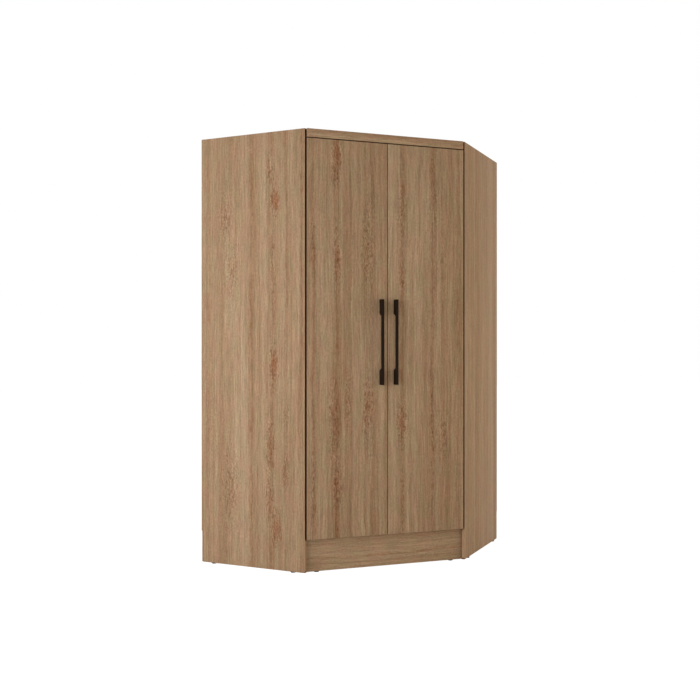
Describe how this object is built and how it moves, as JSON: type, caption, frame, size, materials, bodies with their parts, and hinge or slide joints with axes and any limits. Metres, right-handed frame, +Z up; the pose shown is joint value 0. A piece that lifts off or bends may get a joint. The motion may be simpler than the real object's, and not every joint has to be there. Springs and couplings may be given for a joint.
{
  "type": "corner wardrobe",
  "caption": "Corner wardrobe with a diagonal front, hinged doors on concealed hinges, a clothes rail and a fixed shelf, standing on glides.",
  "frame": {"origin": "centre of the bounding box's floor face, with the doors shut and the handles counted", "axes": "+Z up; the doors face -Y, so the wall corner lies on +Y; +X to the right of someone facing the doors"},
  "size_m": [1.697, 1.3086, 2.15],
  "materials": {
    "side_board": "melamine-faced board with a brown wood print, grain upright",
    "door_board": "melamine-faced board with a brown wood print, grain upright",
    "cross_board": "melamine-faced board with a brown wood print, grain level",
    "carcass_board": "melamine-faced board with a brown wood print",
    "hardboard": "hardboard, smooth brown face",
    "handle_black": "matt black",
    "hinge_nickel": "nickel-plated pressed steel",
    "zinc_steel": "zinc-plated steel",
    "chrome_tube": "bright chrome",
    "black_plastic": "moulded black plastic",
    "clear_buffer": "soft clear buffer"
  },
  "bodies": {
    "carcass": {"left_side_panel": "side_board", "right_side_panel": "side_board", "top_panel": "carcass_board", "base_panel": "carcass_board", "fixed_shelf": "carcass_board", "corner_post": "carcass_board", "left_rear_plinth": "carcass_board", "right_rear_plinth": "carcass_board", "front_plinth": "cross_board", "top_rail": "cross_board", "left_back_lower": "hardboard", "left_back_upper": "hardboard", "right_back_lower": "hardboard", "right_back_upper": "hardboard", "clothes_rail": "chrome_tube", "rail_bracket_1": "zinc_steel", "rail_bracket_2": "zinc_steel", "rail_bracket_3": "zinc_steel", "left_hinge_arm_1": "hinge_nickel", "left_hinge_arm_2": "hinge_nickel", "left_hinge_arm_3": "hinge_nickel", "left_hinge_arm_4": "hinge_nickel", "right_hinge_arm_1": "hinge_nickel", "right_hinge_arm_2": "hinge_nickel", "right_hinge_arm_3": "hinge_nickel", "right_hinge_arm_4": "hinge_nickel", "glide_left_side_front": "black_plastic", "glide_left_side_rear": "black_plastic", "glide_right_side_front": "black_plastic", "glide_right_side_rear": "black_plastic", "glide_front_left": "black_plastic", "glide_front_right": "black_plastic", "glide_corner_post": "black_plastic"},
    "left_hinge_links": {"left_hinge_link_1": "hinge_nickel", "left_hinge_link_2": "hinge_nickel", "left_hinge_link_3": "hinge_nickel", "left_hinge_link_4": "hinge_nickel"},
    "left_door": {"left_door_panel": "door_board", "left_handle": "handle_black", "left_handle_screw_1": "zinc_steel", "left_handle_screw_2": "zinc_steel", "left_door_buffer": "clear_buffer", "left_hinge_cup_1": "hinge_nickel", "left_hinge_cup_2": "hinge_nickel", "left_hinge_cup_3": "hinge_nickel", "left_hinge_cup_4": "hinge_nickel"},
    "right_hinge_links": {"right_hinge_link_1": "hinge_nickel", "right_hinge_link_2": "hinge_nickel", "right_hinge_link_3": "hinge_nickel", "right_hinge_link_4": "hinge_nickel"},
    "right_door": {"right_door_panel": "door_board", "right_handle": "handle_black", "right_handle_screw_1": "zinc_steel", "right_handle_screw_2": "zinc_steel", "right_door_buffer": "clear_buffer", "right_hinge_cup_1": "hinge_nickel", "right_hinge_cup_2": "hinge_nickel", "right_hinge_cup_3": "hinge_nickel", "right_hinge_cup_4": "hinge_nickel"}
  },
  "joints": [
    {"name": "left_link_pivot", "type": "hinge", "parent": "carcass", "child": "left_hinge_links", "pos_m": [-0.384, -0.61193, 0.264], "axis": [0, 0, -1], "range_deg": [-33.4, 0]},
    {"name": "left_door_hinge", "type": "hinge", "parent": "left_hinge_links", "child": "left_door", "pos_m": [-0.4058, -0.61093, 0.264], "axis": [0, 0, -1], "range_deg": [0, 128.4]},
    {"name": "right_link_pivot", "type": "hinge", "parent": "carcass", "child": "right_hinge_links", "pos_m": [0.384, -0.61193, 0.264], "axis": [0, 0, 1], "range_deg": [-33.4, 0]},
    {"name": "right_door_hinge", "type": "hinge", "parent": "right_hinge_links", "child": "right_door", "pos_m": [0.4058, -0.61093, 0.264], "axis": [0, 0, 1], "range_deg": [0, 128.4]}
  ],
  "couplings": [
    {"joint": "left_link_pivot", "follows": "left_door_hinge", "ratio": -0.26},
    {"joint": "right_link_pivot", "follows": "right_door_hinge", "ratio": -0.26}
  ]
}
